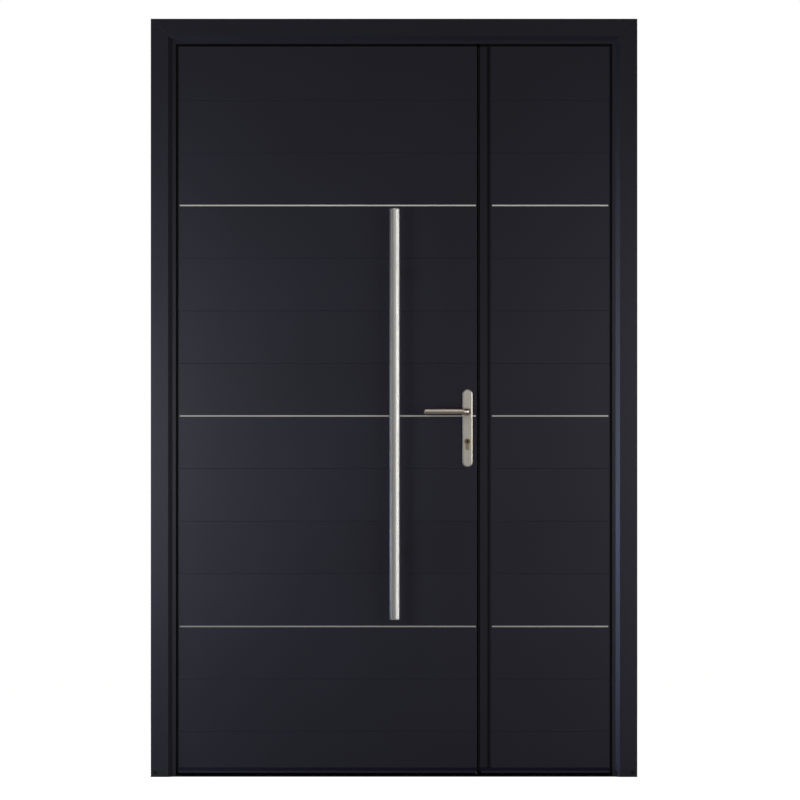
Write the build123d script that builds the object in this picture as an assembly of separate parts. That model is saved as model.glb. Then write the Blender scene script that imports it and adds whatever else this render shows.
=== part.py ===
from build123d import *
import os

# An unequal double-leaf entrance door in powder-coated aluminium: a frame with a low threshold,
# a wide main leaf with a long pull bar and a lever set, and a narrow second leaf.
# Both leaves open inwards on barrel hinges that stand on the inner side.
# Millimetres. +X is to the right seen from outside, +Y points indoors, +Z is up.
# The origin is on the underside of the threshold, midway across its width and the frame's depth.

# Frame, seen from outside
frame_width = 1386.0
frame_height = 2160.0
frame_depth = 72.0
frame_face = 49.5
facet_run = 12.0
frame_shoulder = 9.5

# Frame section, from the outer face inwards
leaf_set_back = 12.0
flange_depth = 34.0
outer_shell_depth = 26.0
break_depth = 18.0
break_inset = 3.0
rebate_overlap = 9.0
rebate_gap = 6.0
gasket_gap = 6.0

# Gaskets
gasket_width = 6.0
gasket_foot_width = 3.0
gasket_foot_depth = 4.0
gasket_edge = 2.0
gasket_nose = 1.5
soft_clearance = 0.3

# Foot blocks under the jambs
foot_height = 24.5
foot_groove_heights = (7.0, 15.5)
foot_groove_width = 1.5
foot_groove_depth = 1.0
foot_screw_radius = 5.5
foot_screw_recess = 2.5
foot_screw_from_edge = 13.0
foot_screw_height = 13.0

# Threshold
threshold_height = 6.0
threshold_set_back = 14.0
threshold_nose_height = 2.5
threshold_nose_run = 8.0
threshold_inner_height = 3.0
threshold_inner_run = 6.0
threshold_strip_width = 6.0
threshold_strip_depth = 3.0
threshold_strip_depth_from_face = 50.0
threshold_rib_count = 5
threshold_rib_pitch = 4.0
threshold_rib_width = 1.6
threshold_rib_depth = 0.8
threshold_rib_from_face = 24.0

# Wall fixing holes, through the inner shell of each jamb
fixing_hole_radius = 5.25
fixing_hole_depth_from_face = 58.0
fixing_hole_from_end = 420.0

# Leaves
side_gap = 8.0
meeting_gap = 9.1
passive_leaf_width = 368.5
panel_thickness = 3.0
panel_bottom = 26.0
leaf_bottom = 13.0
profile_inset = 1.0
lock_edge_step = 2.2
stile_width = 70.0
rail_width = 90.0

# Planks and metal inlays of the outer panels
plank_pitch = 150.0
plank_groove_width = 1.4
plank_groove_depth = 0.8
plank_least = 60.0
inlay_lowest = 428.5
inlay_plank_count = 4
inlay_count = 3
inlay_height = 4.2
inlay_depth = 1.5
inlay_end_inset = 3.4

# Drip bars
drip_projection = 10.0
drip_bottom = 11.2
drip_nose_height = 5.4
drip_nose_edge = 2.4
drip_top_height = 25.0
drip_lip = 3.0
drip_lip_rise = 2.0
passive_drip_end_inset = 2.5

# Seal under each leaf
bottom_seal_width = 8.0
bottom_seal_root_height = 5.0
bottom_seal_root_width = 4.0
bottom_seal_depth_from_face = 46.0
bottom_seal_end_inset = 3.0

# Meeting strip and seal on the edge of the second leaf
strip_face_width = 18.5
strip_set_back = 1.5
strip_slope_run = 7.0
strip_base = 4.0
strip_total_width = 30.2
meeting_seal_width = 8.0
meeting_seal_depth_from_face = 23.0
meeting_seal_root = 3.0
meeting_seal_root_width = 3.0
rear_seal_width = 5.0
rear_seal_depth_from_face = 65.0
sealing_pad_rise = 12.0

# Hinges
hinge_from_leaf_end = 200.0
hinge_pin_stand_off = 12.0
hinge_pin_radius = 5.0
hinge_knuckle_radius = 10.0
hinge_bore_clearance = 0.05
hinge_plate_thickness = 5.0
hinge_plate_width = 30.0
hinge_plate_clearance = 1.5
hinge_outer_knuckle = 40.0
hinge_middle_knuckle = 60.0
hinge_knuckle_gap = 0.4
hinge_cap_height = 4.0
hinge_cap_edge = 1.5

# Pull bar
bar_radius = 15.0
bar_length = 1171.0
bar_height = 1034.0
bar_from_lock_edge = 234.6
bar_stand_off = 55.0
bar_end_edge = 3.5
post_radius = 8.0
post_from_end = 200.0
post_foot_radius = 11.0
post_foot_thickness = 4.0

# Lever set
handle_height = 1041.0
backset = 25.0
lever_radius = 9.0
lever_length = 123.5
lever_stand_off = 48.0
lever_bend_radius = 14.0
lever_tip_edge = 3.0
lever_fit = 0.08
lever_end_clearance = 1.0
spindle_side = 8.0
spindle_clearance = 1.5
plate_width = 29.0
plate_length = 222.0
plate_below_lever = 47.3
plate_thickness = 9.0
plate_edge = 3.0

# Lock
cylinder_below_lever = 85.0
cylinder_radius = 8.5
cylinder_total_height = 33.0
cylinder_flank_width = 10.0
cylinder_proud = 2.0
cylinder_clearance = 0.3
lock_depth_from_face = 48.0
faceplate_width = 24.0
faceplate_thickness = 3.0
faceplate_from_leaf_end = 200.0
latch_height_above_lever = 62.0
latch_size = (12.0, 30.0)
deadbolt_height_above_lever = -95.0
deadbolt_size = (14.0, 38.0)
hook_from_faceplate_end = 205.0
hook_size = (12.0, 46.0)
bolt_clearance = 1.0
bolt_length = 14.0
strike_margin = 26.0
strike_hole_margin = 2.0
strike_pocket_depth = 22.0

# Flush bolts in the edge of the second leaf
flush_bolt_length = 190.0
flush_bolt_from_end = 60.0
flush_bolt_slot = (10.0, 74.0)
flush_bolt_slot_depth = 12.0
flush_bolt_lever = (7.0, 60.0)
flush_bolt_lever_thickness = 4.0

# Places worked out from the sizes above
outer_face = -frame_depth / 2
inner_face = frame_depth / 2
half_width = frame_width / 2
sight_width = frame_face + facet_run + frame_shoulder
flange_back = outer_face + flange_depth
leaf_flange_edge = sight_width - rebate_overlap
web_width = leaf_flange_edge - rebate_gap
panel_face = outer_face + leaf_set_back
core_front = panel_face + panel_thickness
core_back = inner_face - panel_thickness
leaf_flange_front = flange_back + gasket_gap
panel_edge = sight_width + side_gap
panel_top = frame_height - panel_edge
leaf_top = frame_height - leaf_flange_edge
front_core_top = panel_top - profile_inset
passive_edge_x = half_width - panel_edge - passive_leaf_width
main_panel_edge_x = passive_edge_x - meeting_gap
main_core_edge_x = main_panel_edge_x - lock_edge_step
passive_panel_edge_x = passive_edge_x + strip_total_width
hinge_pin_x = half_width - web_width - rebate_gap / 2
hinge_pin_y = inner_face + hinge_pin_stand_off
spindle_x = main_core_edge_x - backset
lock_y = outer_face + lock_depth_from_face
bar_x = main_panel_edge_x - bar_from_lock_edge
cylinder_height = handle_height - cylinder_below_lever
plate_centre_height = handle_height - plate_below_lever
lowest_hinge = leaf_bottom + hinge_from_leaf_end
highest_hinge = leaf_top - hinge_from_leaf_end
hinge_heights = (lowest_hinge, (lowest_hinge + highest_hinge) / 2, highest_hinge)
faceplate_bottom = leaf_bottom + faceplate_from_leaf_end
faceplate_top = leaf_top - faceplate_from_leaf_end
hook_heights = (faceplate_bottom + hook_from_faceplate_end, faceplate_top - hook_from_faceplate_end)
reach = frame_height


def block(x_range, y_range, z_range):
    """A box between two limits on each axis."""
    sizes = [high - low for low, high in (x_range, y_range, z_range)]
    middle = [(high + low) / 2 for low, high in (x_range, y_range, z_range)]
    return Pos(*middle) * Box(*sizes)


def upright(points, bottom, top):
    """A prism standing on an outline in plan."""
    outline = Polygon(*points, align=None)
    return Pos(0, 0, bottom) * extrude(outline, amount=top - bottom, dir=(0, 0, 1))


def crosswise(points, left, right):
    """A prism lying along X, on a section given as (y, z)."""
    section = Plane.YZ * Polygon(*points, align=None)
    return Pos(left, 0, 0) * extrude(section, amount=right - left, dir=(1, 0, 0))


def seen_from_front(points):
    """A prism through the whole depth, on an outline given as (x, z), for mitred corners."""
    return extrude(Plane.XZ * Polygon(*points, align=None), amount=reach, both=True)


def rod_along_y(x, z, radius, front, back):
    """A round rod or hole from front to back."""
    return Pos(x, (front + back) / 2, z) * Rot(90, 0, 0) * Cylinder(radius, back - front)


def mirrored(shape):
    """The same piece on the other side of the door."""
    return mirror(shape, about=Plane.YZ)


def save(name, *solids):
    """Writes one sub-part, which may be several like pieces."""
    shape = solids[0] if len(solids) == 1 else Compound(children=list(solids))
    export_step(shape, f"parts/{name}.step")


# Frame members: each is an outer and an inner aluminium shell with an insulating bar between them.
# A section is a list of (distance in from the frame's edge, y), so jambs and head share it.

outer_shell_section = [
    (0, outer_face),
    (frame_face, outer_face),
    (frame_face + facet_run, panel_face),
    (sight_width, panel_face),
    (sight_width, flange_back),
    (web_width, flange_back),
    (web_width, outer_face + outer_shell_depth),
    (0, outer_face + outer_shell_depth),
]
break_section = [
    (break_inset, outer_face + outer_shell_depth),
    (web_width - break_inset, outer_face + outer_shell_depth),
    (web_width - break_inset, outer_face + outer_shell_depth + break_depth),
    (break_inset, outer_face + outer_shell_depth + break_depth),
]
inner_shell_section = [
    (0, outer_face + outer_shell_depth + break_depth),
    (web_width, outer_face + outer_shell_depth + break_depth),
    (web_width, inner_face),
    (0, inner_face),
]
gasket_middle = sight_width - gasket_edge - gasket_width / 2
gasket_tip = leaf_flange_front - soft_clearance
gasket_section = [
    (gasket_middle - gasket_foot_width / 2, flange_back - gasket_foot_depth),
    (gasket_middle + gasket_foot_width / 2, flange_back - gasket_foot_depth),
    (gasket_middle + gasket_foot_width / 2, flange_back),
    (gasket_middle + gasket_width / 2, flange_back),
    (gasket_middle + gasket_width / 2, gasket_tip - gasket_nose),
    (gasket_middle + gasket_width / 2 - gasket_nose, gasket_tip),
    (gasket_middle - gasket_width / 2 + gasket_nose, gasket_tip),
    (gasket_middle - gasket_width / 2, gasket_tip - gasket_nose),
    (gasket_middle - gasket_width / 2, flange_back),
    (gasket_middle - gasket_foot_width / 2, flange_back),
]
gasket_groove_section = [
    (gasket_middle - gasket_foot_width / 2, flange_back - gasket_foot_depth),
    (gasket_middle + gasket_foot_width / 2, flange_back - gasket_foot_depth),
    (gasket_middle + gasket_foot_width / 2, flange_back),
    (gasket_middle - gasket_foot_width / 2, flange_back),
]
foot_outline = [
    (0, outer_face),
    (frame_face, outer_face),
    (frame_face + facet_run, panel_face),
    (sight_width, panel_face),
    (sight_width, flange_back),
    (web_width, flange_back),
    (web_width, inner_face),
    (0, inner_face),
]
left_face = [
    (-half_width, foot_height),
    (-half_width, frame_height),
    (-half_width + sight_width, frame_height - sight_width),
    (-half_width + sight_width, foot_height),
]
head_face = [
    (-half_width, frame_height),
    (half_width, frame_height),
    (half_width - sight_width, frame_height - sight_width),
    (-half_width + sight_width, frame_height - sight_width),
]


def left_upright(section, bottom, top):
    """A section along the left edge of the frame."""
    return upright([(u - half_width, y) for u, y in section], bottom, top)


def left_jamb_piece(section):
    """A section along the left jamb, mitred at the head."""
    return left_upright(section, foot_height, frame_height) & seen_from_front(left_face)


def head_piece(section):
    """A section along the head, mitred at both ends."""
    bar = crosswise([(y, frame_height - u) for u, y in section], -half_width, half_width)
    return bar & seen_from_front(head_face)


def left_outer_shell():
    """Outer shell of the left jamb, grooved for the gasket."""
    return left_jamb_piece(outer_shell_section) - left_jamb_piece(gasket_groove_section)


def head_outer_shell():
    """Outer shell of the head, grooved for the gasket."""
    return head_piece(outer_shell_section) - head_piece(gasket_groove_section)


def left_inner_shell():
    """Inner shell of the left jamb, drilled for the screws into the wall."""
    shell = left_jamb_piece(inner_shell_section)
    hole_y = outer_face + fixing_hole_depth_from_face
    for height in (fixing_hole_from_end, frame_height - fixing_hole_from_end):
        hole = Pos(-half_width + web_width / 2, hole_y, height) * Rot(0, 90, 0)
        shell -= hole * Cylinder(fixing_hole_radius, 2 * web_width)
    return shell


def frame_gasket():
    """One gasket up the left jamb, along the head and down the right jamb."""
    left = left_jamb_piece(gasket_section)
    return left + head_piece(gasket_section) + mirrored(left)


def left_foot_block():
    """Moulded foot between the left jamb and the floor, with two grooves and a screw recess."""
    foot = left_upright(foot_outline, 0, foot_height)
    outline = Polygon(*[(u - half_width, y) for u, y in foot_outline], align=None)
    waist = offset(outline, amount=-foot_groove_depth, kind=Kind.INTERSECTION)
    for height in foot_groove_heights:
        ring = extrude(outline - waist, amount=foot_groove_width)
        foot -= Pos(0, 0, height) * ring
    screw_x = -half_width + foot_screw_from_edge
    recess_back = outer_face + foot_screw_recess
    recess_front = outer_face - foot_screw_recess
    foot -= rod_along_y(screw_x, foot_screw_height, foot_screw_radius, recess_front, recess_back)
    return foot


strip_y = outer_face + threshold_strip_depth_from_face


def threshold_strip_box(clear_of):
    """Insulating strip let into the top of the threshold."""
    return block(
        (-half_width + clear_of, half_width - clear_of),
        (strip_y - threshold_strip_width / 2, strip_y + threshold_strip_width / 2),
        (threshold_height - threshold_strip_depth, threshold_height),
    )


def threshold():
    """Low aluminium threshold between the feet, sloped to the outside and ribbed."""
    front = outer_face + threshold_set_back
    section = [
        (front, 0),
        (inner_face, 0),
        (inner_face, threshold_inner_height),
        (inner_face - threshold_inner_run, threshold_height),
        (front + threshold_nose_run, threshold_height),
        (front, threshold_nose_height),
    ]
    sill = crosswise(section, -half_width + web_width, half_width - web_width)
    sill -= threshold_strip_box(web_width)
    for index in range(threshold_rib_count):
        rib_y = outer_face + threshold_rib_from_face + index * threshold_rib_pitch
        sill -= block(
            (-half_width, half_width),
            (rib_y, rib_y + threshold_rib_width),
            (threshold_height - threshold_rib_depth, threshold_height),
        )
    foot = left_upright(foot_outline, 0, foot_height)
    return sill - foot - mirrored(foot)


# Leaves: an insulated block framed by four profiles, mitred at the top, with a sheet panel on each side.
# Behind the frame's flange the block steps out to a wider leaf flange, except along the edges
# where the leaves meet and at the bottom.


def leaf_block(hinge_edge_x, meeting_edge_x):
    """The stepped block of one leaf between its panels."""
    side = 1 if hinge_edge_x > meeting_edge_x else -1
    step = panel_edge + profile_inset - leaf_flange_edge
    rear_x = sorted((meeting_edge_x, hinge_edge_x))
    front_x = sorted((meeting_edge_x, hinge_edge_x - side * step))
    front = block(front_x, (core_front, leaf_flange_front), (leaf_bottom, front_core_top))
    rear = block(rear_x, (leaf_flange_front, core_back), (leaf_bottom, leaf_top))
    return front + rear


def leaf_pieces(hinge_edge_x, meeting_edge_x):
    """Hinge stile, meeting stile, the two rails and the infill of one leaf."""
    side = 1 if hinge_edge_x > meeting_edge_x else -1
    solid = leaf_block(hinge_edge_x, meeting_edge_x)
    step = panel_edge + profile_inset - leaf_flange_edge
    hinge_in = hinge_edge_x - side * (stile_width + step)
    meeting_in = meeting_edge_x + side * stile_width
    bottom_in = leaf_bottom + rail_width
    top_in = leaf_top - step - stile_width
    hinge_foot, meeting_foot = (hinge_edge_x, leaf_bottom), (meeting_edge_x, leaf_bottom)
    hinge_head, meeting_head = (hinge_edge_x, leaf_top), (meeting_edge_x, leaf_top)
    hinge_corner, meeting_corner = (hinge_in, top_in), (meeting_in, top_in)
    hinge_base, meeting_base = (hinge_in, leaf_bottom), (meeting_in, leaf_bottom)
    hinge_sill, meeting_sill = (hinge_in, bottom_in), (meeting_in, bottom_in)
    outlines = [
        [hinge_foot, hinge_head, hinge_corner, hinge_base],
        [meeting_foot, meeting_head, meeting_corner, meeting_base],
        [hinge_head, meeting_head, meeting_corner, hinge_corner],
        [hinge_base, meeting_base, meeting_sill, hinge_sill],
        [hinge_sill, meeting_sill, meeting_corner, hinge_corner],
    ]
    return [solid & seen_from_front(outline) for outline in outlines]


def cut_from(solid, cuts):
    """A solid with several others taken away."""
    for cut in cuts:
        solid -= cut
    return solid


def plank_heights():
    """Heights of the plank joints that are not at an inlay."""
    first = int((panel_bottom - inlay_lowest) // plank_pitch)
    last = int((panel_top - inlay_lowest) // plank_pitch) + 1
    joints = []
    for index in range(first, last + 1):
        height = inlay_lowest + index * plank_pitch
        at_inlay = index in [n * inlay_plank_count for n in range(inlay_count)]
        inside = panel_bottom + plank_least < height < panel_top - plank_least
        if inside and not at_inlay:
            joints.append(height)
    return joints


def plank_groove(left, right, face_y, inwards, height):
    """A V-shaped joint between two planks, cut into a face that looks along Y."""
    section = [
        (face_y - inwards * plank_groove_depth, height - plank_groove_width),
        (face_y - inwards * plank_groove_depth, height + plank_groove_width),
        (face_y + inwards * plank_groove_depth, height),
    ]
    return crosswise(section, left, right)


def outer_panel(left, right):
    """Outer sheet of a leaf, with plank joints and slots for the inlays."""
    panel = block((left, right), (panel_face, core_front), (panel_bottom, panel_top))
    for height in plank_heights():
        panel -= plank_groove(left, right, panel_face, 1, height)
    for strip in inlays(left, right):
        panel -= strip
    return panel


def inner_panel(left, right):
    """Inner sheet of a leaf, with the same plank joints."""
    panel = block((left, right), (core_back, inner_face), (leaf_bottom, leaf_top))
    for height in plank_heights() + inlay_heights():
        panel -= plank_groove(left, right, inner_face, -1, height)
    return panel


def inlay_heights():
    """Heights of the inlays, a whole number of planks apart."""
    return [inlay_lowest + n * inlay_plank_count * plank_pitch for n in range(inlay_count)]


def inlays(left, right):
    """Brushed strips let in flush with the outer sheet."""
    strips = []
    for height in inlay_heights():
        strip = block(
            (left + inlay_end_inset, right - inlay_end_inset),
            (panel_face, panel_face + inlay_depth),
            (height - inlay_height / 2, height + inlay_height / 2),
        )
        strips.append(strip)
    return strips


def drip_bar(left, right):
    """Sloped bar that throws water clear of the threshold, with a round nose and a lip under it."""
    nose_y = panel_face - drip_projection
    section = [
        (core_front, drip_top_height),
        (panel_face, drip_top_height),
        (nose_y, drip_bottom + drip_nose_height),
        (nose_y, drip_bottom),
        (nose_y + drip_lip, drip_bottom),
        (nose_y + drip_lip, drip_bottom + drip_lip_rise),
        (core_front, drip_bottom + drip_lip_rise),
    ]
    bar = crosswise(section, left, right)
    nose_edges = bar.edges().filter_by(Axis.X).group_by(Axis.Y)[0]
    return fillet(nose_edges, drip_nose_edge)


seal_y = outer_face + bottom_seal_depth_from_face


def seal_root(left, right):
    """Root of the bottom seal, pushed into a groove of the bottom rail."""
    return block(
        (left, right),
        (seal_y - bottom_seal_root_width / 2, seal_y + bottom_seal_root_width / 2),
        (leaf_bottom, leaf_bottom + bottom_seal_root_height),
    )


def bottom_seal(left, right):
    """Blade that closes the gap between a leaf and the threshold."""
    blade = block(
        (left, right),
        (seal_y - bottom_seal_width / 2, seal_y + bottom_seal_width / 2),
        (threshold_height + soft_clearance, leaf_bottom),
    )
    return blade + seal_root(left, right)


# Edge of the second leaf, where the main leaf meets it


def meeting_strip():
    """Cover strip beside the second leaf's panel: a flat face, then a slope down to a groove."""
    face_y = panel_face + strip_set_back
    base_y = core_front + strip_base
    outline = [
        (passive_edge_x, core_front),
        (passive_edge_x, face_y),
        (passive_edge_x + strip_face_width, face_y),
        (passive_edge_x + strip_face_width + strip_slope_run, base_y),
        (passive_panel_edge_x, base_y),
        (passive_panel_edge_x, base_y + strip_set_back),
        (passive_edge_x, base_y + strip_set_back),
    ]
    return upright(outline, panel_bottom, panel_top)


def strip_bed():
    """Rebate for the meeting strip in the front of the second leaf."""
    base_y = core_front + strip_base + strip_set_back
    return block((passive_edge_x, passive_panel_edge_x), (core_front, base_y), (leaf_bottom, leaf_top))


meeting_seal_y = outer_face + meeting_seal_depth_from_face
rear_seal_y = outer_face + rear_seal_depth_from_face


def sealing_fin(middle_y, width, top):
    """Soft fin in the gap between the leaves, which bends when the main leaf passes."""
    tip_x = main_core_edge_x + soft_clearance
    shoulder_x = (tip_x + passive_edge_x) / 2
    outline = [
        (passive_edge_x + meeting_seal_root, middle_y - meeting_seal_root_width / 2),
        (passive_edge_x, middle_y - meeting_seal_root_width / 2),
        (passive_edge_x, middle_y - width / 2),
        (shoulder_x, middle_y - width / 2),
        (tip_x, middle_y),
        (shoulder_x, middle_y + width / 2),
        (passive_edge_x, middle_y + width / 2),
        (passive_edge_x, middle_y + meeting_seal_root_width / 2),
        (passive_edge_x + meeting_seal_root, middle_y + meeting_seal_root_width / 2),
    ]
    return upright(outline, leaf_bottom, top)


def sealing_pad():
    """Soft pad at the foot of the gap, between the seals under the two leaves."""
    return block(
        (main_core_edge_x + soft_clearance, passive_edge_x),
        (seal_y - bottom_seal_width / 2, seal_y + bottom_seal_width / 2),
        (threshold_height + soft_clearance, leaf_bottom + sealing_pad_rise),
    )


def meeting_seals():
    """The outer and the inner fin, and the pad."""
    outer = sealing_fin(meeting_seal_y, meeting_seal_width, front_core_top)
    inner = sealing_fin(rear_seal_y, rear_seal_width, leaf_top)
    return [outer, inner, sealing_pad()]


def fin_groove(middle_y, top):
    """Groove for the root of a fin."""
    return block(
        (passive_edge_x, passive_edge_x + meeting_seal_root),
        (middle_y - meeting_seal_root_width / 2, middle_y + meeting_seal_root_width / 2),
        (leaf_bottom, top),
    )


# Hinges, drawn for the left side of the door: two knuckles on the frame and one on the leaf


def hinge_knuckle(middle, length):
    """One knuckle round the hinge pin."""
    barrel = Cylinder(hinge_knuckle_radius, length) - Cylinder(bore_radius, length)
    return Pos(-hinge_pin_x, hinge_pin_y, middle) * barrel


bore_radius = hinge_pin_radius + hinge_bore_clearance
hinge_half_length = hinge_middle_knuckle / 2 + hinge_knuckle_gap + hinge_outer_knuckle
plate_start = hinge_knuckle_radius + hinge_plate_clearance


def hinge_plate(side, middle, knuckles):
    """Half a hinge: a plate on the inner side, joined to its knuckles by short webs."""
    near = -hinge_pin_x + side * plate_start
    far = near + side * hinge_plate_width
    plate_back = inner_face + hinge_plate_thickness
    span = (middle - hinge_half_length, middle + hinge_half_length)
    half = block(sorted((near, far)), (inner_face, plate_back), span)
    half = fillet(half.edges().filter_by(Axis.Y), hinge_plate_thickness / 2)
    for offset_z, length in knuckles:
        centre = middle + offset_z
        web_x = sorted((-hinge_pin_x, near + side * hinge_plate_clearance))
        web = block(web_x, (inner_face, hinge_pin_y), (centre - length / 2, centre + length / 2))
        bore = Pos(-hinge_pin_x, hinge_pin_y, centre) * Cylinder(bore_radius, length)
        half += web - bore
        half += hinge_knuckle(centre, length)
    return half


def hinge_on_frame(middle):
    """Frame half of a hinge, with a knuckle at each end."""
    offset_z = hinge_half_length - hinge_outer_knuckle / 2
    knuckles = [(-offset_z, hinge_outer_knuckle), (offset_z, hinge_outer_knuckle)]
    return hinge_plate(-1, middle, knuckles)


def hinge_on_leaf(middle):
    """Leaf half of a hinge, with the middle knuckle."""
    return hinge_plate(1, middle, [(0, hinge_middle_knuckle)])


def hinge_pin(middle):
    """Pin through the three knuckles, with a cap at each end."""
    pin = Cylinder(hinge_pin_radius, 2 * hinge_half_length)
    cap = Cylinder(hinge_knuckle_radius, hinge_cap_height)
    cap = chamfer(cap.edges().filter_by(GeomType.CIRCLE).sort_by(Axis.Z)[-1], hinge_cap_edge)
    cap = Pos(0, 0, hinge_half_length + hinge_cap_height / 2) * cap
    pin = pin + cap + mirror(cap, about=Plane.XY)
    return Pos(-hinge_pin_x, hinge_pin_y, middle) * pin


# Pull bar on the outside of the main leaf


bar_y = panel_face - bar_stand_off


def pull_bar():
    """Long round bar."""
    bar = Cylinder(bar_radius, bar_length)
    bar = fillet(bar.edges().filter_by(GeomType.CIRCLE), bar_end_edge)
    posts = [Pos(0, 0, end) * post_socket() for end in post_offsets()]
    for socket in posts:
        bar -= socket
    return Pos(bar_x, bar_y, bar_height) * bar


def post_offsets():
    """Places of the posts, from the middle of the bar."""
    offset_z = bar_length / 2 - post_from_end
    return (-offset_z, offset_z)


def post_socket():
    """Blind hole in the back of the bar that takes a post."""
    return rod_along_y(0, 0, post_radius, 0, bar_radius)


def bar_post(offset_z):
    """Post from the leaf to the bar, with a round foot."""
    height = bar_height + offset_z
    post = rod_along_y(bar_x, height, post_radius, bar_y, panel_face)
    foot_front = panel_face - post_foot_thickness
    return post + rod_along_y(bar_x, height, post_foot_radius, foot_front, panel_face)


# Lever set: a long plate on each face, a lever through each plate and a square spindle between


def lever_on_outside():
    """Round lever: a neck out of the plate, a bend and a straight grip towards the hinges."""
    start = (spindle_x, panel_face - lever_end_clearance, handle_height)
    corner = (spindle_x, panel_face - lever_stand_off, handle_height)
    tip = (spindle_x - lever_length, panel_face - lever_stand_off, handle_height)
    path = FilletPolyline(start, corner, tip, radius=lever_bend_radius)
    section = Plane(origin=start, z_dir=(0, -1, 0)) * Circle(lever_radius)
    lever = sweep(section, path=path)
    tip_edge = lever.edges().sort_by(Axis.X)[0]
    return fillet(tip_edge, lever_tip_edge)


def to_inside(shape):
    """The same piece on the inner face of the leaf."""
    middle = (panel_face + inner_face) / 2
    return mirror(shape, about=Plane.XZ.offset(-middle))


def euro_profile(radius, flank_width, height):
    """Outline of the lock cylinder, seen from the front: a round head over a narrow flank."""
    flank = Pos(0, -height / 2) * Rectangle(flank_width, height)
    end = Pos(0, -height) * Circle(flank_width / 2)
    return Circle(radius) + flank + end


def cylinder_solid(clearance, front, back):
    """The lock cylinder, or its cut-out with some clearance."""
    drop = cylinder_total_height - cylinder_radius - cylinder_flank_width / 2
    width = cylinder_flank_width + 2 * clearance
    profile = euro_profile(cylinder_radius + clearance, width, drop)
    body = extrude(Plane.XZ * profile, amount=back - front, dir=(0, 1, 0))
    return Pos(spindle_x, front, cylinder_height) * body


def plate_outside():
    """Long plate with round ends, drilled for the lever and cut for the cylinder."""
    outline = SlotOverall(plate_length, plate_width, rotation=90)
    plate = extrude(Plane.XZ * outline, amount=plate_thickness, dir=(0, -1, 0))
    front_edges = plate.faces().sort_by(Axis.Y)[0].edges()
    plate = chamfer(front_edges, plate_edge)
    plate = Pos(spindle_x, panel_face, plate_centre_height) * plate
    front = panel_face - 2 * plate_thickness
    plate -= rod_along_y(spindle_x, handle_height, lever_radius + lever_fit, front, inner_face)
    return plate - cylinder_solid(cylinder_clearance, front, inner_face)


def spindle():
    """Square bar that turns the lock from either lever."""
    front = panel_face - lever_end_clearance
    back = inner_face + lever_end_clearance
    half = spindle_side / 2
    x_range = (spindle_x - half, spindle_x + half)
    return block(x_range, (front, back), (handle_height - half, handle_height + half))


def through_hardware():
    """What is cut through a leaf for the spindle and the cylinder."""
    hole_radius = spindle_side / 2 * 2**0.5 + spindle_clearance
    hole = rod_along_y(spindle_x, handle_height, hole_radius, panel_face, inner_face)
    return hole + cylinder_solid(cylinder_clearance, panel_face, inner_face)


# Lock: a long faceplate in the edge of the main leaf, bolts drawn back flush with it, and strikes


def bolt_places():
    """Middle height and size of the latch, the deadbolt and the two hooks."""
    places = [(handle_height + latch_height_above_lever, latch_size)]
    places.append((handle_height + deadbolt_height_above_lever, deadbolt_size))
    places += [(height, hook_size) for height in hook_heights]
    return places


def edge_block(x_range, width, bottom, top):
    """A box centred on the lock's line in the edge of a leaf."""
    return block(x_range, (lock_y - width / 2, lock_y + width / 2), (bottom, top))


def bolt_block(x_range, height, size, extra):
    """One bolt, or its cut-out with a margin all round."""
    width, length = size
    bottom = height - length / 2 - extra
    return edge_block(x_range, width + 2 * extra, bottom, height + length / 2 + extra)


def faceplate_bed():
    """Slot for the faceplate in the main leaf's meeting stile."""
    x_range = (main_core_edge_x - faceplate_thickness, main_core_edge_x)
    return edge_block(x_range, faceplate_width, faceplate_bottom, faceplate_top)


def lock_bolts():
    """Latch, deadbolt and hooks, drawn back."""
    x_range = (main_core_edge_x - bolt_length, main_core_edge_x)
    return [bolt_block(x_range, height, size, 0) for height, size in bolt_places()]


def bolt_pockets():
    """Cut-outs round the bolts."""
    x_range = (main_core_edge_x - bolt_length, main_core_edge_x)
    return [bolt_block(x_range, height, size, bolt_clearance) for height, size in bolt_places()]


def lock_faceplate():
    """Long strip with an opening for each bolt."""
    plate = faceplate_bed()
    for pocket in bolt_pockets():
        plate -= pocket
    return plate


def strike_blocks():
    """Strike plates in the second leaf's edge: one for latch and deadbolt, one for each hook."""
    x_range = (passive_edge_x, passive_edge_x + faceplate_thickness)
    centre_bottom = handle_height + deadbolt_height_above_lever - strike_margin
    centre_top = handle_height + latch_height_above_lever + strike_margin
    plates = [edge_block(x_range, faceplate_width, centre_bottom, centre_top)]
    for height in hook_heights:
        half = hook_size[1] / 2 + strike_margin
        plates.append(edge_block(x_range, faceplate_width, height - half, height + half))
    return plates


def strike_pockets():
    """Holes that the bolts shoot into."""
    x_range = (passive_edge_x, passive_edge_x + strike_pocket_depth)
    return [bolt_block(x_range, height, size, strike_hole_margin) for height, size in bolt_places()]


def strike_plates():
    """The strike plates with their holes."""
    plates = []
    for plate in strike_blocks():
        for pocket in strike_pockets():
            plate -= pocket
        plates.append(plate)
    return plates


# Flush bolts that hold the second leaf, one at the top and one at the bottom of its edge


def flush_bolt_middles():
    """Middle heights of the two flush bolts."""
    half = flush_bolt_length / 2
    low = leaf_bottom + flush_bolt_from_end + half
    high = front_core_top - flush_bolt_from_end - half
    return (low, high)


def flush_bolt_bed(middle):
    """Slot for the plate of a flush bolt."""
    half = flush_bolt_length / 2
    x_range = (passive_edge_x, passive_edge_x + faceplate_thickness)
    return edge_block(x_range, faceplate_width, middle - half, middle + half)


def flush_bolt_well(middle):
    """Finger recess round the lever of a flush bolt."""
    x_range = (passive_edge_x, passive_edge_x + flush_bolt_slot_depth)
    return bolt_block(x_range, middle, flush_bolt_slot, 0)


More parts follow.
